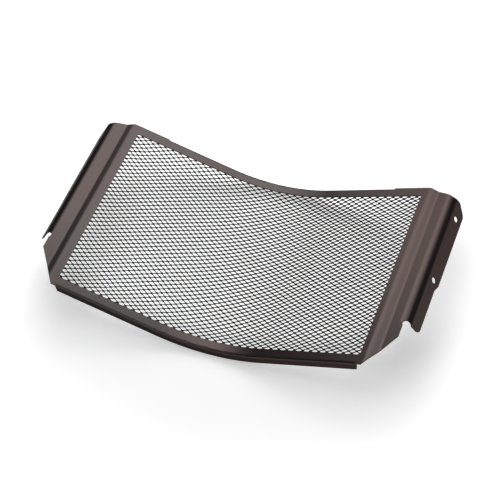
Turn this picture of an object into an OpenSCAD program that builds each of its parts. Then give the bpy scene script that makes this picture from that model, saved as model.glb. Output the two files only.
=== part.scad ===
// Radiator guard for a motorbike: one folded sheet frame with a mesh panel behind its window.
// It lies on its back with the hollow side up. X runs across the width, Y towards the top edge
// and Z up. The origin is on the ground, under the middle of the guard.

/* [Sheet] */
// Thickness of the frame's sheet
sheet_t = 1.5; // [1.2:0.1:2]
// Inner radius of the folds along the top and bottom edges
edge_bend_r = 1; // [0.8:0.1:2.5]
// Depth of the top and bottom edge flanges below the front face
edge_flange_d = 10; // [7:0.5:14]
// How far an edge flange's end slants in towards its free edge
edge_end_in = 3; // [1:0.5:5]

/* [Curve] */
// Radius of the front face across the middle
curve_r = 164; // [140:1:220]
// Slope of the straight wings either side of the curve, in degrees
wing_a = 19.5; // [16:0.5:22]

/* [Window] */
// Width of the window, measured along the front face
window_w = 335; // [300:1:360]
// Height of the window
window_h = 201; // [180:1:220]
// Width of the rails above and below the window
rail_w = 10.5; // [8.5:0.5:14]
// Radius of the window's corners
window_corner_r = 1.5; // [1:0.1:3]

/* [Sides] */
// Width of the rail beside the window, up to the first fold
side_rail_w = 8.2; // [6:0.1:9]
// Inner radius of that fold, which is drawn out wide
rail_bend_r = 12.5; // [8:0.5:14]
// Width of the sloping step between the side rail and the side panel
step_w = 8.8; // [8:0.1:12]
// Angle of the folds on both sides of the step, in degrees
step_fold = 25; // [15:1:28]
// Inner radius of the fold between the step and the side panel
step_bend_r = 7.5; // [3:0.5:8]
// Width of the side panel between its folds
panel_w = 17.5; // [15:0.1:22]
// Width of the side panel's free lower part, below the side flange
free_panel_w = 14; // [11:0.1:15]
// Angle of the fold between the side panel and the side flange, in degrees
flange_fold = 74; // [68:1:80]
// Inner radius of that fold, which is bent round a thick rod
flange_bend_r = 9; // [5:0.5:10]

/* [Side flanges] */
// Width of the upper part of the side flange, which has the holes
flange_w = 23; // [21:0.5:28]
// Width of its lower part
flange_low_w = 20; // [17:0.5:20.5]
// Lowest point of the side flange, above the bottom edge
flange_low_y = 54; // [45:1:70]
// Distance from the lower hole down to the step between the wide part and the narrow part
flange_step_below = 3; // [2:0.5:8]
// Radius of the side flange's corners
flange_corner_r = 4; // [2:0.5:5]
// Radius of the relief where the side flange's fold ends
relief_r = 4; // [2.5:0.5:5]

/* [Mounting holes] */
// Diameter of the holes, for M6 bolts
hole_d = 6.4; // [5.5:0.1:7]
// Distance between the two holes of a side
hole_pitch = 79; // [70:1:85]
// Distance of the holes from the flange's fold
hole_in = 14.8; // [13:0.1:16]
// Distance of the upper hole below the side flange's top
hole_below_top = 20; // [17:0.5:24]

/* [Mesh panel] */
// Columns of diamonds across the panel
mesh_cols = 14; // [10:1:14]
// Rows of diamonds up the panel
mesh_rows = 14; // [10:1:14]
// Width of a strand, across it
strand_w = 3; // [2:0.1:3.5]
// Thickness of the panel
mesh_t = 1.2; // [0.8:0.1:2]
// Set-back of the mesh field behind the panel's edge
mesh_recess = 1.5; // [0:0.5:3]
// Width of the panel's edge strip behind the frame
mesh_edge_w = 4.5; // [3:0.1:5]
// Clearance between the frame's back face and the panel's edge strip
mesh_gap = 0.2; // [0.2:0.05:0.5]

/* [Hidden] */
$fn = 96;

// Sheet, from the driving values
half_h = window_h / 2 + rail_w;
edge_out_r = edge_bend_r + sheet_t;
rail_out_r = rail_bend_r + sheet_t;
flange_out_r = flange_bend_r + sheet_t;
// Half of the curve, measured along the front face
curve_s = curve_r * wing_a * PI / 180;
// Window edge and first fold, measured along a wing from the end of the curve
window_x = window_w / 2 - curve_s;
fold_x = window_x + side_rail_w;
// Distances from each fold's sharp corner to where its flats begin
rail_set = rail_out_r * tan(step_fold / 2);
step_set = step_bend_r * tan(step_fold / 2);
flange_set = flange_out_r * tan(flange_fold / 2);
// The edge flanges' faces lie this far inside the flat sheet's faces, so the two join cleanly
tuck = 0.02;
// Places of the folds across the width
first_fold_x = curve_r * sin(wing_a) + fold_x * cos(wing_a);
second_fold_x = first_fold_x + step_w * cos(wing_a - step_fold);
last_fold_x = second_fold_x + panel_w * cos(wing_a);
panel_end_x = last_fold_x - flange_set * cos(wing_a);
free_end_x = second_fold_x + free_panel_w * cos(wing_a);
rail_end_x = first_fold_x - 3.5;
// Ends of the edge flanges, measured along a wing
top_flange_x = window_x - 33;
bottom_flange_x = window_x - 1;
// Side outline, as heights on the Y axis
flange_top = half_h - 7.5;
flange_bottom = -half_h + flange_low_y;
relief_y = flange_bottom - 1;
panel_low = -half_h + 37;
hole_high = flange_top - hole_below_top;
hole_low = hole_high - hole_pitch;
flange_step = hole_low - flange_step_below;

// Moves its children to the end of the curve, with X along the wing and Z out of the front face
module on_wing() {
    translate([0, 0, edge_flange_d + curve_r])
        rotate([0, -wing_a, 0])
            translate([0, 0, -curve_r])
                children();
}

// Moves its children past a fold at distance len, turned back by angle a
module past_fold(len, a) {
    translate([len, 0, 0])
        rotate([0, a, 0])
            children();
}

// Moves its children onto the right side panel, with X away from its inner fold
module on_panel() {
    on_wing()
        past_fold(fold_x, step_fold)
            past_fold(step_w, -step_fold)
                children();
}

// Moves its children onto the right side flange, with X away from its fold
module on_flange() {
    on_panel()
        past_fold(panel_w, flange_fold)
            children();
}

// Next station after p, a straight distance len on. A station is [x, z, slope] on the front face.
function straight_on(p, len) = [p[0] + len * cos(p[2]), p[1] + len * sin(p[2]), p[2]];

// Stations round a bend of radius r that turns by angle a in n steps, forward if a is positive
function round_bend(p, a, r, n) =
    let (q = sign(a) * r, cx = p[0] - q * sin(p[2]), cz = p[1] + q * cos(p[2]))
    [for (k = [1:n]) let (h = p[2] + a * k / n) [cx + q * sin(h), cz - q * cos(h), h]];

function last(v) = v[len(v) - 1];

// Stations from the middle of the guard to the edge of the right side flange
function half_section() =
    let (
        middle = concat([[0, 0, 0]], round_bend([0, 0, 0], wing_a, curve_r, 24)),
        wing = straight_on(last(middle), fold_x - rail_set),
        fold_1 = round_bend(wing, -step_fold, rail_out_r, 8),
        step = straight_on(last(fold_1), step_w - rail_set - step_set),
        fold_2 = round_bend(step, step_fold, step_bend_r, 6),
        panel = straight_on(last(fold_2), panel_w - step_set - flange_set),
        fold_3 = round_bend(panel, -flange_fold, flange_out_r, 18),
        flange = straight_on(last(fold_3), flange_w - flange_set)
    )
    concat(middle, [wing], fold_1, [step], fold_2, [panel], fold_3, [flange]);

// Section of the folded sheet across the whole width, seen from the bottom edge
module sheet_section() {
    half = half_section();
    front = [for (p = half) [p[0], p[1]]];
    back = [for (p = half) [p[0] + sheet_t * sin(p[2]), p[1] - sheet_t * cos(p[2])]];
    n = len(half);
    polygon([
        for (k = [n - 1:-1:1]) [-front[k][0], front[k][1]],
        each front,
        for (k = [n - 1:-1:0]) back[k],
        for (k = [1:n - 1]) [-back[k][0], back[k][1]]
    ]);
}

// Flat lower part of the side panel, which goes on where the side flange's fold has ended
module free_panel() {
    start = panel_w - flange_set - 2;
    on_panel()
        translate([start, -half_h, tuck - sheet_t])
            cube([free_panel_w + 2 - start, half_h + relief_y + 0.5, sheet_t - 2 * tuck]);
}

// Section of an edge flange and its bend, as depth against distance from the window
module edge_section(inset) {
    straight = rail_w - edge_out_r;
    translate([inset, straight - 2])
        square([sheet_t - 2 * inset, 2]);
    intersection() {
        translate([edge_out_r, straight])
            difference() {
                circle(edge_out_r - inset);
                circle(edge_bend_r + inset);
            }
        translate([0, straight])
            square(edge_out_r);
    }
    translate([edge_out_r, rail_w - sheet_t + inset])
        square([edge_flange_d - edge_out_r, sheet_t - 2 * inset]);
}

// Edge flange of the top edge, round the curve and along both wings up to distance x1
module edge_flange(x1) {
    translate([0, 0, edge_flange_d + curve_r])
        rotate([90, 0, 0])
            mirror([0, 0, 1])
                rotate_extrude(angle = 2 * wing_a, start = 270 - wing_a)
                    translate([curve_r, window_h / 2])
                        edge_section(tuck);
    for (side = [0, 1])
        mirror([side, 0, 0])
            on_wing()
                difference() {
                    translate([-1, window_h / 2, 0])
                        rotate([0, 90, 0])
                            linear_extrude(x1 + 1)
                                edge_section(2 * tuck);
                    edge_end_cut(x1);
                }
}

// Cut that slants an edge flange's end at distance x1 along a wing
module edge_end_cut(x1) {
    lean = edge_end_in / (edge_flange_d - edge_out_r);
    translate([0, half_h + 1, 0])
        rotate([90, 0, 0])
            linear_extrude(rail_w + 2)
                polygon([[x1 + lean, 1 - edge_out_r], [x1 + 5, 1 - edge_out_r],
                    [x1 + 5, -edge_flange_d - 2], [x1 - edge_end_in - 2 * lean, -edge_flange_d - 2]]);
}

// Cut for an edge flange's length out of the flat sheet's top edge
module edge_cut(x1) {
    x = curve_r * sin(wing_a) + x1 * cos(wing_a);
    translate([-x, half_h - edge_out_r, -1])
        cube([2 * x, 2 * edge_out_r, 2 * window_w]);
}

// Window, with its corners rounded
module window_cut() {
    r = window_corner_r;
    x = curve_r * sin(wing_a) + window_x / 2;
    translate([-x, -window_h / 2, -1])
        cube([2 * x, window_h, 2 * window_w]);
    for (side = [0, 1])
        mirror([side, 0, 0])
            on_wing()
                translate([0, 0, -5])
                    linear_extrude(10) {
                        translate([0, -window_h / 2])
                            square([window_x - r, window_h]);
                        translate([0, r - window_h / 2])
                            square([window_x, window_h - 2 * r]);
                        for (y = [-1, 1])
                            translate([window_x - r, y * (window_h / 2 - r)])
                                circle(r);
                    }
}

// Points of a rounded corner whose square corner is at p, at the bottom right
function corner(p, r) =
    [for (k = [0:6]) let (a = -90 + 15 * k) [p[0] - r + r * cos(a), p[1] + r + r * sin(a)]];

// Outline of the side flange, as distance from its fold against height
module flange_outline() {
    polygon([
        [0, flange_bottom],
        each corner([flange_low_w, flange_bottom], flange_corner_r),
        [flange_low_w, flange_step - 6],
        [flange_w - 0.8, flange_step - 0.6],
        [flange_w, flange_step + 1],
        [flange_w, flange_top - 13],
        [flange_w - 0.4, flange_top - 11],
        [flange_w - 2, flange_top - 8.5],
        [flange_set + 5, flange_top - 0.8],
        [flange_set + 3, flange_top],
        [0, flange_top]
    ]);
}

// What the right side's outline and holes leave out of the sheet
module side_cuts() {
    far = 2 * window_w;
    // top edge, which slopes down from the first fold to the side flange
    linear_extrude(far)
        polygon([[first_fold_x, half_h], [last_fold_x, flange_top], [far, flange_top],
            [far, 2 * half_h], [first_fold_x, 2 * half_h]]);
    // bottom corner, from the rail's end to the panel's free edge and on to the side flange
    linear_extrude(far)
        polygon([[rail_end_x, -2 * half_h], [rail_end_x, -half_h], [free_end_x, panel_low],
            [free_end_x, relief_y], [free_end_x + relief_r, flange_bottom],
            [far, flange_bottom], [far, -2 * half_h]]);
    // relief at the lower end of the side flange's fold
    translate([free_end_x + relief_r - 1, relief_y, 0])
        cylinder(r = relief_r, h = far);
    on_flange() {
        translate([0, 0, -5])
            linear_extrude(10)
                difference() {
                    translate([flange_set + 2, flange_bottom - 5])
                        square([2 * flange_w, flange_top - flange_bottom + 10]);
                    flange_outline();
                }
        // mounting holes
        for (y = [hole_low, hole_high])
            translate([hole_in, y, -sheet_t - 1])
                cylinder(d = hole_d, h = sheet_t + 2);
    }
}

module frame() {
    color("dimgray") {
        difference() {
            union() {
                difference() {
                    translate([0, half_h, edge_flange_d])
                        rotate([90, 0, 0])
                            linear_extrude(2 * half_h)
                                sheet_section();
                    for (side = [0, 1])
                        mirror([side, 0, 0])
                            translate([panel_end_x + 0.1, -2 * half_h, -1])
                                cube([window_w, 2 * half_h + relief_y, window_w]);
                }
                for (side = [0, 1])
                    mirror([side, 0, 0])
                        free_panel();
            }
            window_cut();
            edge_cut(top_flange_x);
            mirror([0, 1, 0])
                edge_cut(bottom_flange_x);
            side_cuts();
            mirror([1, 0, 0])
                side_cuts();
        }
        edge_flange(top_flange_x);
        mirror([0, 1, 0])
            edge_flange(bottom_flange_x);
    }
}

// Mesh panel. Its crossings stand on a grid of columns i and rows j, at every place where i + j
// is even, and a diamond opening stands at every place where i + j is odd.
cols = 2 * mesh_cols;
rows = 2 * mesh_rows;
pitch_s = window_w / cols;
pitch_y = window_h / rows;
// How far an opening's points stop short of the crossings, in columns and rows
strand_slope = atan2(pitch_y, pitch_s);
tip_i = strand_w / 2 / sin(strand_slope) / pitch_s;
tip_j = strand_w / 2 / cos(strand_slope) / pitch_y;
openings = ((cols + 1) * (rows + 1) - 1) / 2;
ring = 2 * (cols + rows);
layer = 4 * openings + ring;

// Point at distance s along the sheet and height y, at depth d behind the front face
function on_sheet(s, y, d) =
    let (
        w = max(0, abs(s) - curve_s),
        a = sign(s) * min(abs(s) / curve_r * 180 / PI, wing_a),
        r = curve_r + d
    )
    [r * sin(a) + sign(s) * w * cos(wing_a), y,
        edge_flange_d + curve_r - r * cos(a) + w * sin(wing_a)];

// Set-back of the mesh field: none along the edge strip, full from the first crossing in
function recess_at(i, j) = mesh_recess * min(1, i, cols - i, j, rows - j);

// Point of the mesh at column i and row j, moved outwards by distance out
function mesh_point(i, j, out, back) =
    on_sheet((i - cols / 2) * pitch_s + (i == 0 ? -out : i == cols ? out : 0),
        (j - rows / 2) * pitch_y + (j == 0 ? -out : j == rows ? out : 0),
        sheet_t + mesh_gap + recess_at(i, j) + (back ? mesh_t : 0));

// Point k of the opening at column i and row j: right, top, left and bottom
function tip(i, j, k, back) =
    k == 0 ? mesh_point(i < cols ? i + 1 - tip_i : i, j, 0, back)
    : k == 1 ? mesh_point(i, j < rows ? j + 1 - tip_j : j, 0, back)
    : k == 2 ? mesh_point(i > 0 ? i - 1 + tip_i : i, j, 0, back)
    : mesh_point(i, j > 0 ? j - 1 + tip_j : j, 0, back);

// Column and row of place p on the way round the edge, from the bottom left, and its side
function ring_place(p) =
    p < cols ? [p, 0, 3]
    : p < cols + rows ? [cols, p - cols, 0]
    : p < 2 * cols + rows ? [2 * cols + rows - p, rows, 1]
    : [0, ring - p, 2];

// Number of point k of an opening, and of place p on the outer edge
function tip_n(i, j, k) = 2 * (i * (rows + 1) + j) - 2 + (k + 4) % 4;
function ring_n(p) = 4 * openings + (p + ring) % ring;
// Number of the point on the ring opening at place p, before, at or after its middle
function ring_tip(p, k) =
    let (r = ring_place((p + ring) % ring)) tip_n(r[0], r[1], r[2] + k);

// Splits a face with four corners in two
function quad(a, b, c, d) = [[a, b, c], [a, c, d]];

// Faces of the front: crossings, strands both ways and the edge strip
function front_faces() = [
    for (i = [1:cols - 1], j = [1:rows - 1]) if ((i + j) % 2 == 0)
        each quad(tip_n(i + 1, j, 2), tip_n(i, j + 1, 3), tip_n(i - 1, j, 0), tip_n(i, j - 1, 1)),
    for (i = [0:cols - 1], j = [0:rows]) if ((i + j) % 2 == 1) each concat(
        j < rows ? quad(tip_n(i, j, 0), tip_n(i + 1, j + 1, 3), tip_n(i + 1, j + 1, 2),
            tip_n(i, j, 1)) : [],
        j > 0 ? quad(tip_n(i, j, 0), tip_n(i, j, 3), tip_n(i + 1, j - 1, 2),
            tip_n(i + 1, j - 1, 1)) : []),
    for (p = [0:ring - 1]) let (r = ring_place(p)) each (
        (r[0] + r[1]) % 2 == 1 ? [
            [ring_n(p - 1), ring_n(p), ring_tip(p, -1)],
            [ring_n(p), ring_tip(p, 0), ring_tip(p, -1)],
            [ring_n(p), ring_tip(p, 1), ring_tip(p, 0)],
            [ring_n(p), ring_n(p + 1), ring_tip(p, 1)]
        ] : [[ring_n(p), ring_tip(p + 1, -1), ring_tip(p - 1, 1)]]),
    for (i = [2:2:cols - 2]) each [
        [tip_n(i + 1, 0, 2), tip_n(i, 1, 3), tip_n(i - 1, 0, 0)],
        [tip_n(i - 1, rows, 0), tip_n(i, rows - 1, 1), tip_n(i + 1, rows, 2)]
    ],
    for (j = [2:2:rows - 2]) each [
        [tip_n(0, j - 1, 1), tip_n(1, j, 2), tip_n(0, j + 1, 3)],
        [tip_n(cols, j + 1, 3), tip_n(cols - 1, j, 0), tip_n(cols, j - 1, 1)]
    ]
];

// Faces of the walls, inside the openings and round the outer edge
function wall_faces() = [
    for (i = [0:cols], j = [0:rows], k = [0:3]) if ((i + j) % 2 == 1)
        each quad(tip_n(i, j, k), tip_n(i, j, k + 1), layer + tip_n(i, j, k + 1),
            layer + tip_n(i, j, k)),
    for (p = [0:ring - 1])
        each quad(ring_n(p), ring_n(p - 1), layer + ring_n(p - 1), layer + ring_n(p))
];

module mesh_panel() {
    front = front_faces();
    points = [
        for (back = [false, true]) each [
            for (i = [0:cols], j = [0:rows], k = [0:3]) if ((i + j) % 2 == 1) tip(i, j, k, back),
            for (p = [0:ring - 1]) let (r = ring_place(p)) mesh_point(r[0], r[1], mesh_edge_w, back)
        ]
    ];
    color("black")
        polyhedron(points, [
            for (f = front) [f[2], f[1], f[0]],
            for (f = front) [layer + f[0], layer + f[1], layer + f[2]],
            for (f = wall_faces()) [f[2], f[1], f[0]]
        ]);
}

frame();
mesh_panel();
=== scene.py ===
# %% [markdown]
# # A radiator guard in folded sheet and diamond mesh
# The guard goes in front of a motorbike's radiator. One sheet is cut with a window, curved and
# folded, and a panel of expanded metal is fixed behind the window. The solids of both pieces
# come from the CAD model. The frame's folds are right as they come, so it only needs its coat.
# The solid mesh has large plain diamonds, so this lesson replaces it with mesh of the real size.

# %% Load the fixed frame
from math import cos, pi, radians, sin

import bmesh
import bpy
from mathutils import Matrix, Vector


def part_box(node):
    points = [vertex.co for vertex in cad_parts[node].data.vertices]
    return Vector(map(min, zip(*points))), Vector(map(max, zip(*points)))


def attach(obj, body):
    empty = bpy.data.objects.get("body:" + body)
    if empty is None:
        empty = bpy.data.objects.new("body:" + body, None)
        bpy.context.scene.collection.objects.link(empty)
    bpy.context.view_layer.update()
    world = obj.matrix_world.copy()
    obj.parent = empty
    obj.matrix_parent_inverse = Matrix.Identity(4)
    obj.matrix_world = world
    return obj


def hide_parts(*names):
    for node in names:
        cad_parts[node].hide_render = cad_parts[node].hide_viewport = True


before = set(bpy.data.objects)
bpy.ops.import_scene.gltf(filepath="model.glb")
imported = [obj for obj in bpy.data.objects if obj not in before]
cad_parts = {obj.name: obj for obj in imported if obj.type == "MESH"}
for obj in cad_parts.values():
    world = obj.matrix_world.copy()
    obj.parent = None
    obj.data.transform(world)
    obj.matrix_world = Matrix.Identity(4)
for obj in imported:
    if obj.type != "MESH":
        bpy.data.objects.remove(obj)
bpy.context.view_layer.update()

MM = 0.001
frame_low, frame_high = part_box("frame")
print("frame", [round(c / MM, 1) for c in frame_low], [round(c / MM, 1) for c in frame_high])

# %% [markdown]
# The mesh has to follow the frame's section: a round curve across the middle and a straight wing
# on either side. These are the sheet's own measures, the same ones that the solid was made from.
# A helper gives the point at any distance along that section, and at any depth behind its face.

# %% The frame's section
SHEET_T = 1.5 * MM
FLANGE_D = 10 * MM
CURVE_R = 164 * MM
WING_A = radians(19.5)
WINDOW_W = 335 * MM
WINDOW_H = 201 * MM
CURVE_HALF = CURVE_R * WING_A


def on_section(s, depth):
    """Gives (x, z) at distance s from the middle along the front face, and depth behind it."""
    r = CURVE_R + depth
    side = 1 if s >= 0 else -1
    a = min(abs(s) / CURVE_R, WING_A)
    along = max(0, abs(s) - CURVE_HALF)
    x = r * sin(a) + along * cos(WING_A)
    z = FLANGE_D + CURVE_R - r * cos(a) + along * sin(WING_A)
    return side * x, z


print("window edge at", [round(c / MM, 1) for c in on_section(WINDOW_W / 2, 0)])

# %% [markdown]
# The camera comes first. The photograph was taken from the front right corner and from above, and
# the guard is rocked a little on its round back, so the picture is turned against the guard. The
# camera is placed by where it stands and what it looks at, and then rolled about its own axis. Its
# values come from a fit to the outlines, the holes and the rows of the mesh in the photograph.

# %% Camera
EYE = Vector((418.9, -738.4, 1126.6)) * MM
LOOK = Vector((-0.3065, 0.5381, -0.7852))
ROLL = radians(-10.7)
FOCAL_PX = 1342.4
PHOTO_PX = 480

camera_data = bpy.data.cameras.new("camera")
camera = bpy.data.objects.new("camera", camera_data)
bpy.context.scene.collection.objects.link(camera)
camera_data.sensor_width = 36
camera_data.lens = FOCAL_PX / PHOTO_PX * camera_data.sensor_width
camera_data.clip_end = 20
turn = LOOK.to_track_quat("-Z", "Y").to_matrix().to_4x4()
camera.matrix_world = Matrix.Translation(EYE) @ turn @ Matrix.Rotation(ROLL, 4, "Z")
bpy.context.scene.camera = camera
right = camera.matrix_world.to_3x3() @ Vector((1, 0, 0))
print("the camera's right is", [round(c, 3) for c in right])

# %% [markdown]
# Three helpers for modelling. Every operator works on whatever is selected, and the loaded solids
# may be selected to begin with, so each step starts by selecting nothing.

# %% Helpers for modelling


def start_clean():
    """Leaves edit mode and selects nothing."""
    if bpy.context.object and bpy.context.object.mode != "OBJECT":
        bpy.ops.object.mode_set(mode="OBJECT")
    bpy.ops.object.select_all(action="DESELECT")


def use(obj):
    """Makes one object the only selected one."""
    start_clean()
    obj.select_set(True)
    bpy.context.view_layer.objects.active = obj


def pick_faces(obj, test):
    """Selects the faces whose centre passes the test, in edit mode."""
    bpy.ops.mesh.select_all(action="DESELECT")
    bpy.ops.mesh.select_mode(type="FACE")
    mesh = bmesh.from_edit_mesh(obj.data)
    for face in mesh.faces:
        if test(face.calc_center_median()):
            face.select = True
    mesh.select_flush(True)
    bmesh.update_edit_mesh(obj.data)


# %% [markdown]
# ## The mesh
# Expanded metal is one sheet, cut with staggered slits and pulled open. Each diamond is bounded by
# four strands, and the strands meet in knuckles where the cuts ended. The pull tips every strand
# over, so the mesh is rough like a grater. It could be a wave of tubes, or a sheet with holes, but
# neither would show the tipped strands. So one knuckle with its four half strands is modelled, and
# copied until it fills the panel.

# %% One knuckle with four half strands
LONG_PITCH = 9.02 * MM
SHORT_PITCH = 5.3 * MM
STRAND_W = 1.05 * MM
STRAND_T = 0.8 * MM
KNUCKLE_L = 2.2 * MM
TILT = radians(28)
NEARLY = 0.98

start_clean()
bpy.ops.mesh.primitive_cube_add(size=1, location=(0, 0, 0))
knuckle = bpy.context.object
knuckle.name = "knuckle"
knuckle.scale = (KNUCKLE_L, 2 * STRAND_W, STRAND_T)
bpy.ops.object.transform_apply(location=False, rotation=False, scale=True)
bpy.ops.object.mode_set(mode="EDIT")
bpy.ops.mesh.select_all(action="SELECT")
bpy.ops.mesh.bisect(plane_co=(0, 0, 0), plane_no=(0, 1, 0))
for side_x in (-1, 1):
    for side_y in (-1, 1):
        pick_faces(knuckle, lambda c: c.x * side_x > NEARLY * KNUCKLE_L / 2
            and c.y * side_y > STRAND_W / 4)
        bpy.ops.mesh.extrude_region_move(TRANSFORM_OT_translate={"value": (
            side_x * (LONG_PITCH / 4 - KNUCKLE_L / 2),
            side_y * (SHORT_PITCH / 4 - STRAND_W / 2), 0)})
bpy.ops.mesh.select_all(action="SELECT")
bpy.ops.transform.rotate(value=-TILT, orient_axis="X", center_override=(0, 0, 0))
tipped = bmesh.from_edit_mesh(knuckle.data)
print("heights of the tipped points:", sorted({round(v.co.z / MM, 2) for v in tipped.verts}))

# %% [markdown]
# The turn lifted the strands' ends off the panel's plane. Each end goes back to the middle of its
# strand, where it meets the next knuckle's end. The end faces go, because two of them would be
# left inside every strand.

# %% Bring the strand ends back to the plane
END_X = LONG_PITCH / 4
for side_x in (-1, 1):
    for side_y in (-1, 1):
        pick_faces(knuckle, lambda c: c.x * side_x > NEARLY * END_X and c.y * side_y > 0)
        ends = [v for v in bmesh.from_edit_mesh(knuckle.data).verts if v.select]
        centre = sum((v.co for v in ends), Vector()) / len(ends)
        bpy.ops.transform.translate(value=(0, side_y * SHORT_PITCH / 4 - centre.y, -centre.z))
pick_faces(knuckle, lambda c: abs(c.x) > NEARLY * END_X)
bpy.ops.mesh.delete(type="ONLY_FACE")
bpy.ops.object.mode_set(mode="OBJECT")
print("the knuckle has", len(knuckle.data.polygons), "faces")

# %% [markdown]
# Every second row is shifted by half a diamond. A second knuckle is copied to the place of the
# shifted row, and two Array modifiers repeat the pair across and up, with a few spare diamonds to
# cut off. Their ends touch, so the doubled points are merged and the panel becomes one skin.

# %% Repeat it over the panel
BORDER_W = 4.5 * MM
SPARE = 3
MERGE_WITHIN = 0.02 * MM
columns = int((WINDOW_W + 2 * BORDER_W) / LONG_PITCH) + SPARE
rows = int((WINDOW_H + 2 * BORDER_W) / SHORT_PITCH) + SPARE

use(knuckle)
bpy.ops.object.duplicate()
shifted = bpy.context.object
shifted.location = (LONG_PITCH / 2, SHORT_PITCH / 2, 0)
bpy.ops.object.transform_apply(location=True, rotation=False, scale=False)
knuckle.select_set(True)
bpy.context.view_layer.objects.active = knuckle
bpy.ops.object.join()
panel = knuckle
panel.name = "diamond_mesh"
repeats = (("across", (LONG_PITCH, 0, 0), columns), ("up", (0, SHORT_PITCH, 0), rows))
for name, step, count in repeats:
    array = panel.modifiers.new(name, "ARRAY")
    array.use_relative_offset = False
    array.use_constant_offset = True
    array.constant_offset_displace = step
    array.count = count
    bpy.ops.object.modifier_apply(modifier=name)
bpy.ops.object.mode_set(mode="EDIT")
bpy.ops.mesh.select_all(action="SELECT")
bpy.ops.mesh.remove_doubles(threshold=MERGE_WITHIN)
bpy.ops.object.mode_set(mode="OBJECT")
print(columns, "by", rows, "diamonds,", len(panel.data.polygons), "faces")

# %% [markdown]
# A real panel is cut to size with a shear, straight through the strands. Bisect does the same, and
# closes each cut strand. The panel is moved first, so that it reaches past the cut on every side.

# %% Cut the panel to size
HALF_S = WINDOW_W / 2 + BORDER_W
HALF_Y = WINDOW_H / 2 + BORDER_W
SHIFT = Vector((-(columns // 2) * LONG_PITCH, -(rows // 2) * SHORT_PITCH, 0))

use(panel)
bpy.ops.object.mode_set(mode="EDIT")
bpy.ops.mesh.select_all(action="SELECT")
bpy.ops.transform.translate(value=SHIFT)
cuts = (((1, 0, 0), HALF_S), ((-1, 0, 0), HALF_S), ((0, 1, 0), HALF_Y), ((0, -1, 0), HALF_Y))
for normal, distance in cuts:
    bpy.ops.mesh.select_all(action="SELECT")
    bpy.ops.mesh.bisect(plane_co=Vector(normal) * distance, plane_no=normal,
        clear_outer=True, use_fill=True)
print("the cut panel has", len(bmesh.from_edit_mesh(panel.data).faces), "faces")

# %% [markdown]
# The field of the mesh lies a little behind its border, which is flat against the frame. The
# middle of the panel is moved down, and proportional editing carries the diamonds round it along
# less and less, so that the set-back has no hard line.

# %% Set the field back
FIELD_DROP = 1.5 * MM
FADE_W = 16 * MM

bpy.ops.mesh.select_all(action="DESELECT")
bpy.ops.mesh.select_mode(type="VERT")
flat = bmesh.from_edit_mesh(panel.data)
for v in flat.verts:
    v.select = abs(v.co.x) < WINDOW_W / 2 - FADE_W and abs(v.co.y) < WINDOW_H / 2 - FADE_W
flat.select_flush(True)
bmesh.update_edit_mesh(panel.data)
bpy.ops.transform.translate(value=(0, 0, -FIELD_DROP), use_proportional_edit=True,
    proportional_edit_falloff="SMOOTH", proportional_size=FADE_W)
bpy.ops.object.mode_set(mode="OBJECT")
heights = [v.co.z / MM for v in panel.data.vertices]
print("the panel lies between", round(min(heights), 2), "and", round(max(heights), 2))

# %% [markdown]
# A Curve modifier bends the flat panel to the frame's section. Its path is a line of short steps
# behind the sheet, a little longer than the panel at both ends. The tipped strands of the border
# reach 0.85 mm to either side of the path, so it runs 0.95 mm behind the sheet's back.

# %% A path behind the sheet
BEHIND_SHEET = 0.95 * MM
DEPTH = SHEET_T + BEHIND_SHEET
REACH = HALF_S + 3 * MM
STEPS = 160

path_data = bpy.data.curves.new("section_path", "CURVE")
path_data.dimensions = "3D"
path_data.twist_mode = "Z_UP"
spline = path_data.splines.new("POLY")
spline.points.add(STEPS)
for k, point in enumerate(spline.points):
    x, z = on_section(-REACH + 2 * REACH * k / STEPS, DEPTH)
    point.co = (x, 0, z, 1)
path = bpy.data.objects.new("section_path", path_data)
bpy.context.scene.collection.objects.link(path)
print("the path has", len(spline.points), "points")

# %% [markdown]
# The modifier lays the panel's X along the path, from the path's start. The path is measured
# behind the sheet, where the curve is a little longer than on its face, and the panel is moved by
# half of that length to bring its middle to the path's middle.

# %% Bend the panel along it
half_length = REACH + CURVE_HALF * DEPTH / CURVE_R

use(panel)
for v in panel.data.vertices:
    v.co.x += half_length
bend = panel.modifiers.new("bend", "CURVE")
bend.object = path
bend.deform_axis = "POS_X"
bpy.ops.object.modifier_apply(modifier="bend")
bpy.data.objects.remove(path)
bpy.ops.object.shade_smooth_by_angle(angle=radians(30))
low = [min(v.co[k] for v in panel.data.vertices) / MM for k in range(3)]
high = [max(v.co[k] for v in panel.data.vertices) / MM for k in range(3)]
print("the bent panel", [round(c, 1) for c in low], [round(c, 1) for c in high])

# %% [markdown]
# ## Finishes
# Frame and mesh are coated with baked powder, the frame brown-black and the mesh black. A baked
# coat is never quite even: its tone and gloss wander over a hand's width, and its surface has a
# fine peel. It is also rubbed on every sharp edge, and the lighter colour painted there also stands
# for the highlight that a rounded edge catches. Both coats show these things, so each is a node
# group that is built once. These helpers make a group, a node, a Map Range node and the wires.

# %% Helpers for node groups


def new_group(name, inputs, outputs):
    """Makes a node group from {socket name: (type, value)} and {socket name: type}."""
    group = bpy.data.node_groups.new(name, "ShaderNodeTree")
    for label, (kind, value) in inputs.items():
        socket = group.interface.new_socket(label, in_out="INPUT", socket_type="NodeSocket" + kind)
        socket.default_value = value
    for label, kind in outputs.items():
        group.interface.new_socket(label, in_out="OUTPUT", socket_type="NodeSocket" + kind)
    start = group.nodes.new("NodeGroupInput")
    end = group.nodes.new("NodeGroupOutput")
    return group, start, end


def add_node(tree, kind, **settings):
    """Adds a node and sets its properties, or its inputs by name."""
    node = tree.nodes.new(kind)
    for label, value in settings.items():
        if hasattr(node, label):
            setattr(node, label, value)
        else:
            node.inputs[label].default_value = value
    return node


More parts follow.
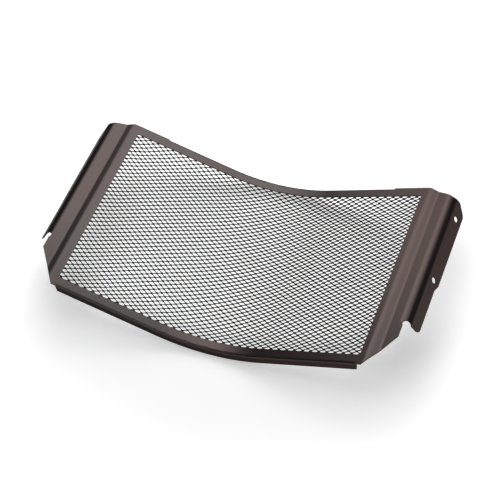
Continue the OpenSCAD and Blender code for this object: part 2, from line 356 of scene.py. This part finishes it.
def add_range(tree, from_min, from_max, to_min=0.0, to_max=1.0, **settings):
    """Adds a node that maps the first pair of values to the second pair."""
    node = add_node(tree, "ShaderNodeMapRange", **settings)
    node.inputs["From Min"].default_value = from_min
    node.inputs["From Max"].default_value = from_max
    node.inputs["To Min"].default_value = to_min
    node.inputs["To Max"].default_value = to_max
    return node


def wire(tree, *wires):
    """Links the sockets named by each (node, output, node, input)."""
    for source, output, target, socket in wires:
        tree.links.new(source.outputs[output], target.inputs[socket])


# %% [markdown]
# The first group is the coat's tone. One slow noise mixes two shades of the coat, stretched along
# the folds as the spray gun moved. Most of the noise lies between 0.35 and 0.65, so a Map Range
# spreads that part over the whole mix. The same noise shifts the roughness, so the gloss is uneven
# too. A Mix node has its two colours at inputs 6 and 7 and the mixed one at output 2.

# %% Group: wandering tone
tone, start, end = new_group("coat_tone",
    {"Shade": ("Color", (0.02, 0.02, 0.02, 1)), "Warm Shade": ("Color", (0.03, 0.02, 0.02, 1)),
     "Size": ("Float", 10.0), "Roughness": ("Float", 0.35), "Unevenness": ("Float", 0.05)},
    {"Color": "Color", "Roughness": "Float"})
where = add_node(tone, "ShaderNodeTexCoord")
stretch = add_node(tone, "ShaderNodeMapping", Scale=(1.0, 0.35, 1.0))
clouds = add_node(tone, "ShaderNodeTexNoise", Detail=3.0, Roughness=0.5)
spread = add_range(tone, 0.35, 0.65)
shade = add_node(tone, "ShaderNodeMix", data_type="RGBA")
shift = add_node(tone, "ShaderNodeMath", operation="MULTIPLY_ADD")
wire(tone,
    (where, "Object", stretch, "Vector"),
    (stretch, "Vector", clouds, "Vector"),
    (start, "Size", clouds, "Scale"),
    (clouds, "Fac", spread, "Value"),
    (spread, "Result", shade, "Factor"),
    (start, "Shade", shade, 6),
    (start, "Warm Shade", shade, 7),
    (spread, "Result", shift, 0),
    (start, "Unevenness", shift, 1),
    (start, "Roughness", shift, 2),
    (shade, 2, end, "Color"),
    (shift, "Value", end, "Roughness"))
print(tone.name, "has", len(tone.nodes), "nodes")

# %% [markdown]
# The second group finds the sharp edges, where the coat is rubbed and where its lighter colour is
# also a painted highlight. A Bevel node gives the normal that a rounded edge would have. Its dot
# product with the true normal is 1 on a flat face and falls near an edge, where the mask comes in
# between 0.97 and 0.80. A fine noise breaks the rubbed line up, because hands and boxes don't rub
# an edge evenly.

# %% Group: rubbed edges with a painted highlight
rubbed_and_highlit_edges, start, end = new_group("rubbed_edges_with_painted_highlight",
    {"Width": ("Float", 0.0004), "Amount": ("Float", 0.3)}, {"Mask": "Float"})
rounded = add_node(rubbed_and_highlit_edges, "ShaderNodeBevel", samples=6)
true_face = add_node(rubbed_and_highlit_edges, "ShaderNodeNewGeometry")
same = add_node(rubbed_and_highlit_edges, "ShaderNodeVectorMath", operation="DOT_PRODUCT")
edge = add_range(rubbed_and_highlit_edges, 0.97, 0.80)
where = add_node(rubbed_and_highlit_edges, "ShaderNodeTexCoord")
patches = add_node(rubbed_and_highlit_edges, "ShaderNodeTexNoise", Scale=160.0, Detail=4.0)
broken = add_range(rubbed_and_highlit_edges, 0.42, 0.62)
both = add_node(rubbed_and_highlit_edges, "ShaderNodeMath", operation="MULTIPLY")
amount = add_node(rubbed_and_highlit_edges, "ShaderNodeMath", operation="MULTIPLY")
wire(rubbed_and_highlit_edges,
    (start, "Width", rounded, "Radius"),
    (rounded, "Normal", same, 0),
    (true_face, "Normal", same, 1),
    (same, "Value", edge, "Value"),
    (where, "Object", patches, "Vector"),
    (patches, "Fac", broken, "Value"),
    (edge, "Result", both, 0),
    (broken, "Result", both, 1),
    (both, "Value", amount, 0),
    (start, "Amount", amount, 1),
    (amount, "Value", end, "Mask"))
print(rubbed_and_highlit_edges.name, "has", len(rubbed_and_highlit_edges.nodes), "nodes")

# %% [markdown]
# The third group is the peel: a fine noise that a Bump node in each coat turns into dimples.

# %% Group: powder peel
peel, start, end = new_group("powder_peel", {"Size": ("Float", 900.0)}, {"Height": "Float"})
where = add_node(peel, "ShaderNodeTexCoord")
dimples = add_node(peel, "ShaderNodeTexNoise", Detail=2.0, Roughness=0.4)
wire(peel,
    (where, "Object", dimples, "Vector"),
    (start, "Size", dimples, "Scale"),
    (dimples, "Fac", end, "Height"))
print(peel.name, "has", len(peel.nodes), "nodes")

# %% [markdown]
# A coat is now the three groups and one shader. The rubbed mask pulls the colour towards a bare,
# lighter shade, which is wear and a painted edge highlight together, and lifts the roughness there.
# Flake is the share of metal in the coat, and glance is how much the flakes mirror at a flat angle.

# %% A helper that builds a coat
RUBBED_ROUGHER = 0.15
PEEL_DEPTH = 0.1 * MM


def make_coat(name, shade, warm_shade, worn_and_highlit_shade, **look):
    """Builds one powder coat from the shared groups; look holds its single values."""
    coat = bpy.data.materials.new(name)
    coat.use_nodes = True
    tree = coat.node_tree
    shader = tree.nodes["Principled BSDF"]
    shader.inputs["Specular IOR Level"].default_value = look["gloss"]
    shader.inputs["Metallic"].default_value = look["flake"]
    shader.inputs["Specular Tint"].default_value = (look["glance"],) * 3 + (1,)
    tones = add_node(tree, "ShaderNodeGroup", node_tree=tone)
    tones.inputs["Shade"].default_value = (*shade, 1)
    tones.inputs["Warm Shade"].default_value = (*warm_shade, 1)
    tones.inputs["Roughness"].default_value = look["roughness"]
    tones.inputs["Unevenness"].default_value = look["unevenness"]
    edges = add_node(tree, "ShaderNodeGroup", node_tree=rubbed_and_highlit_edges)
    edges.inputs["Width"].default_value = look["edge_width"]
    edges.inputs["Amount"].default_value = look["wear"]
    dimpled = add_node(tree, "ShaderNodeGroup", node_tree=peel)
    # The lighter worn shade on the edges is wear and a painted edge highlight.
    worn_and_highlit = add_node(tree, "ShaderNodeMix", data_type="RGBA")
    worn_and_highlit.inputs[7].default_value = (*worn_and_highlit_shade, 1)
    dull = add_node(tree, "ShaderNodeMath", operation="MULTIPLY_ADD")
    dull.inputs[1].default_value = RUBBED_ROUGHER
    bump = add_node(tree, "ShaderNodeBump", Strength=0.12, Distance=PEEL_DEPTH)
    wire(tree,
        (edges, "Mask", worn_and_highlit, "Factor"),
        (tones, "Color", worn_and_highlit, 6),
        (worn_and_highlit, 2, shader, "Base Color"),
        (edges, "Mask", dull, 0),
        (tones, "Roughness", dull, 2),
        (dull, "Value", shader, "Roughness"),
        (dimpled, "Height", bump, "Height"),
        (bump, "Normal", shader, "Normal"))
    return coat


# %% [markdown]
# The frame's powder is a satin brown-black with fine metal flakes. The flakes tint what it mirrors,
# so it looks grey-brown in the light and nearly black out of it. The mesh is plain black. Both
# coats are put on: the frame keeps its CAD mesh, and the new panel stands for the plain one.

# %% Coat the frame and the mesh
# The worn shade of each coat is a lighter edge colour: wear and a painted edge highlight.
brown_black = make_coat("brown_black_coat",
    shade=(0.053, 0.050, 0.049), warm_shade=(0.064, 0.048, 0.045), worn_and_highlit_shade=(0.13, 0.12, 0.115),
    roughness=0.25, unevenness=0.06, gloss=0.5, flake=0.9, glance=0.1,
    wear=0.3, edge_width=0.4 * MM)
black = make_coat("black_mesh_coat",
    shade=(0.004, 0.004, 0.0045), warm_shade=(0.008, 0.007, 0.007), worn_and_highlit_shade=(0.05, 0.05, 0.05),
    roughness=0.45, unevenness=0.08, gloss=0.25, flake=0.0, glance=1.0,
    wear=0.15, edge_width=0.15 * MM)
frame_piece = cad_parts["frame"]
frame_piece.data.materials.clear()
frame_piece.data.materials.append(brown_black)
panel.data.materials.clear()
panel.data.materials.append(black)
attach(panel, "root")
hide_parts("mesh_panel")
print("coated:", frame_piece.name, "and", panel.name)

# %% [markdown]
# ## Floor and light
# The guard lies on a wide white floor. The floor catches its soft shadow, and it also gives off a
# little light for the camera and for mirrored rays only, which keeps the background white without
# more light on the guard.

# %% Floor
FLOOR_W = 12

start_clean()
bpy.ops.mesh.primitive_plane_add(size=FLOOR_W, location=(0, 0, 0))
floor = bpy.context.object
floor.name = "floor"
pale = bpy.data.materials.new("white_sweep")
pale.use_nodes = True
tree = pale.node_tree
tree.nodes.clear()
paper = add_node(tree, "ShaderNodeBsdfDiffuse", Color=(0.85, 0.85, 0.855, 1))
glow = add_node(tree, "ShaderNodeEmission", Color=(1, 1, 1, 1))
rays = add_node(tree, "ShaderNodeLightPath")
seen = add_node(tree, "ShaderNodeMath", operation="MAXIMUM")
dim = add_node(tree, "ShaderNodeMath", operation="MULTIPLY")
total = add_node(tree, "ShaderNodeAddShader")
out = add_node(tree, "ShaderNodeOutputMaterial")
wire(tree,
    (rays, "Is Camera Ray", seen, 0),
    (rays, "Is Glossy Ray", seen, 1),
    (seen, "Value", dim, 0),
    (dim, "Value", glow, "Strength"),
    (paper, "BSDF", total, 0),
    (glow, "Emission", total, 1),
    (total, "Shader", out, "Surface"))
floor.data.materials.append(pale)
print("the floor is", FLOOR_W, "m wide")

# %% [markdown]
# The glow isn't the same everywhere. It grows with the distance from the guard, where the lamps get
# weak. There is also a patch of it under the mesh, as on a light table: painted light that lifts
# the guard's shadow there, so that the holes look white. The patch is an ellipse: a Mapping node
# turns it into a circle of radius 1, and the glow fades out across the circle's edge.

# %% Where the floor glows
NEAR_GLOW = 0.3
FAR_GLOW = 0.85
NEAR_R = 0.14
FAR_R = 0.46
PATCH_GLOW = 0.36
PATCH_MIDDLE = (-0.02, 0.03, 0)
PATCH_HALF = (0.2, 0.11, 1)
PATCH_FADE = (0.9, 1.35)

where = add_node(tree, "ShaderNodeTexCoord")
away = add_node(tree, "ShaderNodeVectorMath", operation="LENGTH")
pool = add_range(tree, NEAR_R, FAR_R, NEAR_GLOW, FAR_GLOW, interpolation_type="SMOOTHSTEP")
under = add_node(tree, "ShaderNodeMapping", vector_type="TEXTURE",
    Location=PATCH_MIDDLE, Scale=PATCH_HALF)
inner = add_node(tree, "ShaderNodeVectorMath", operation="LENGTH")
patch = add_range(tree, *PATCH_FADE, PATCH_GLOW, 0.0, interpolation_type="SMOOTHSTEP")
both = add_node(tree, "ShaderNodeMath", operation="ADD")
wire(tree,
    (where, "Object", away, 0),
    (away, "Value", pool, "Value"),
    (where, "Object", under, "Vector"),
    (under, "Vector", inner, 0),
    (inner, "Value", patch, "Value"),
    (pool, "Result", both, 0),
    (patch, "Result", both, 1),
    (both, "Value", dim, 1))
print("the floor's material has", len(tree.nodes), "nodes")

# %% [markdown]
# A satin dark coat shows the light as much as its own colour. One large softbox hangs high above,
# and a smaller one stands close behind the guard. The left wing, the middle and the top rail mirror
# both and look grey. What turns away from them is dark, which gives the folds their black bands. A
# third one stands in front, for what the guard mirrors when it is seen from behind.

# %% Studio light
WORLD_GLOW = 0.1


def add_softbox(name, place, size, glow):
    """Adds a square area lamp that faces the guard and looks as bright as glow."""
    lamp_data = bpy.data.lights.new(name, "AREA")
    lamp_data.size = size
    lamp_data.energy = glow * pi * size * size
    lamp = bpy.data.objects.new(name, lamp_data)
    bpy.context.scene.collection.objects.link(lamp)
    place = Vector(place)
    facing = (-place).to_track_quat("-Z", "Y").to_matrix().to_4x4()
    lamp.matrix_world = Matrix.Translation(place) @ facing
    print(name, "gives", round(lamp_data.energy, 2), "W")


world = bpy.data.worlds.new("studio")
bpy.context.scene.world = world
world.use_nodes = True
sky = world.node_tree.nodes["Background"]
sky.inputs["Color"].default_value = (1, 1, 1, 1)
sky.inputs["Strength"].default_value = WORLD_GLOW
add_softbox("overhead", place=(-0.076, 0.433, 1.642), size=1.96, glow=1.5)
add_softbox("behind", place=(-0.13, 0.465, 0.495), size=0.58, glow=1.8)
add_softbox("front_fill", place=(0.1, -1.25, 0.85), size=1.1, glow=1.0)
bpy.context.scene.view_settings.view_transform = "Standard"

# %% [markdown]
# Last, the script prints that it is done.

# %% End
print("done")
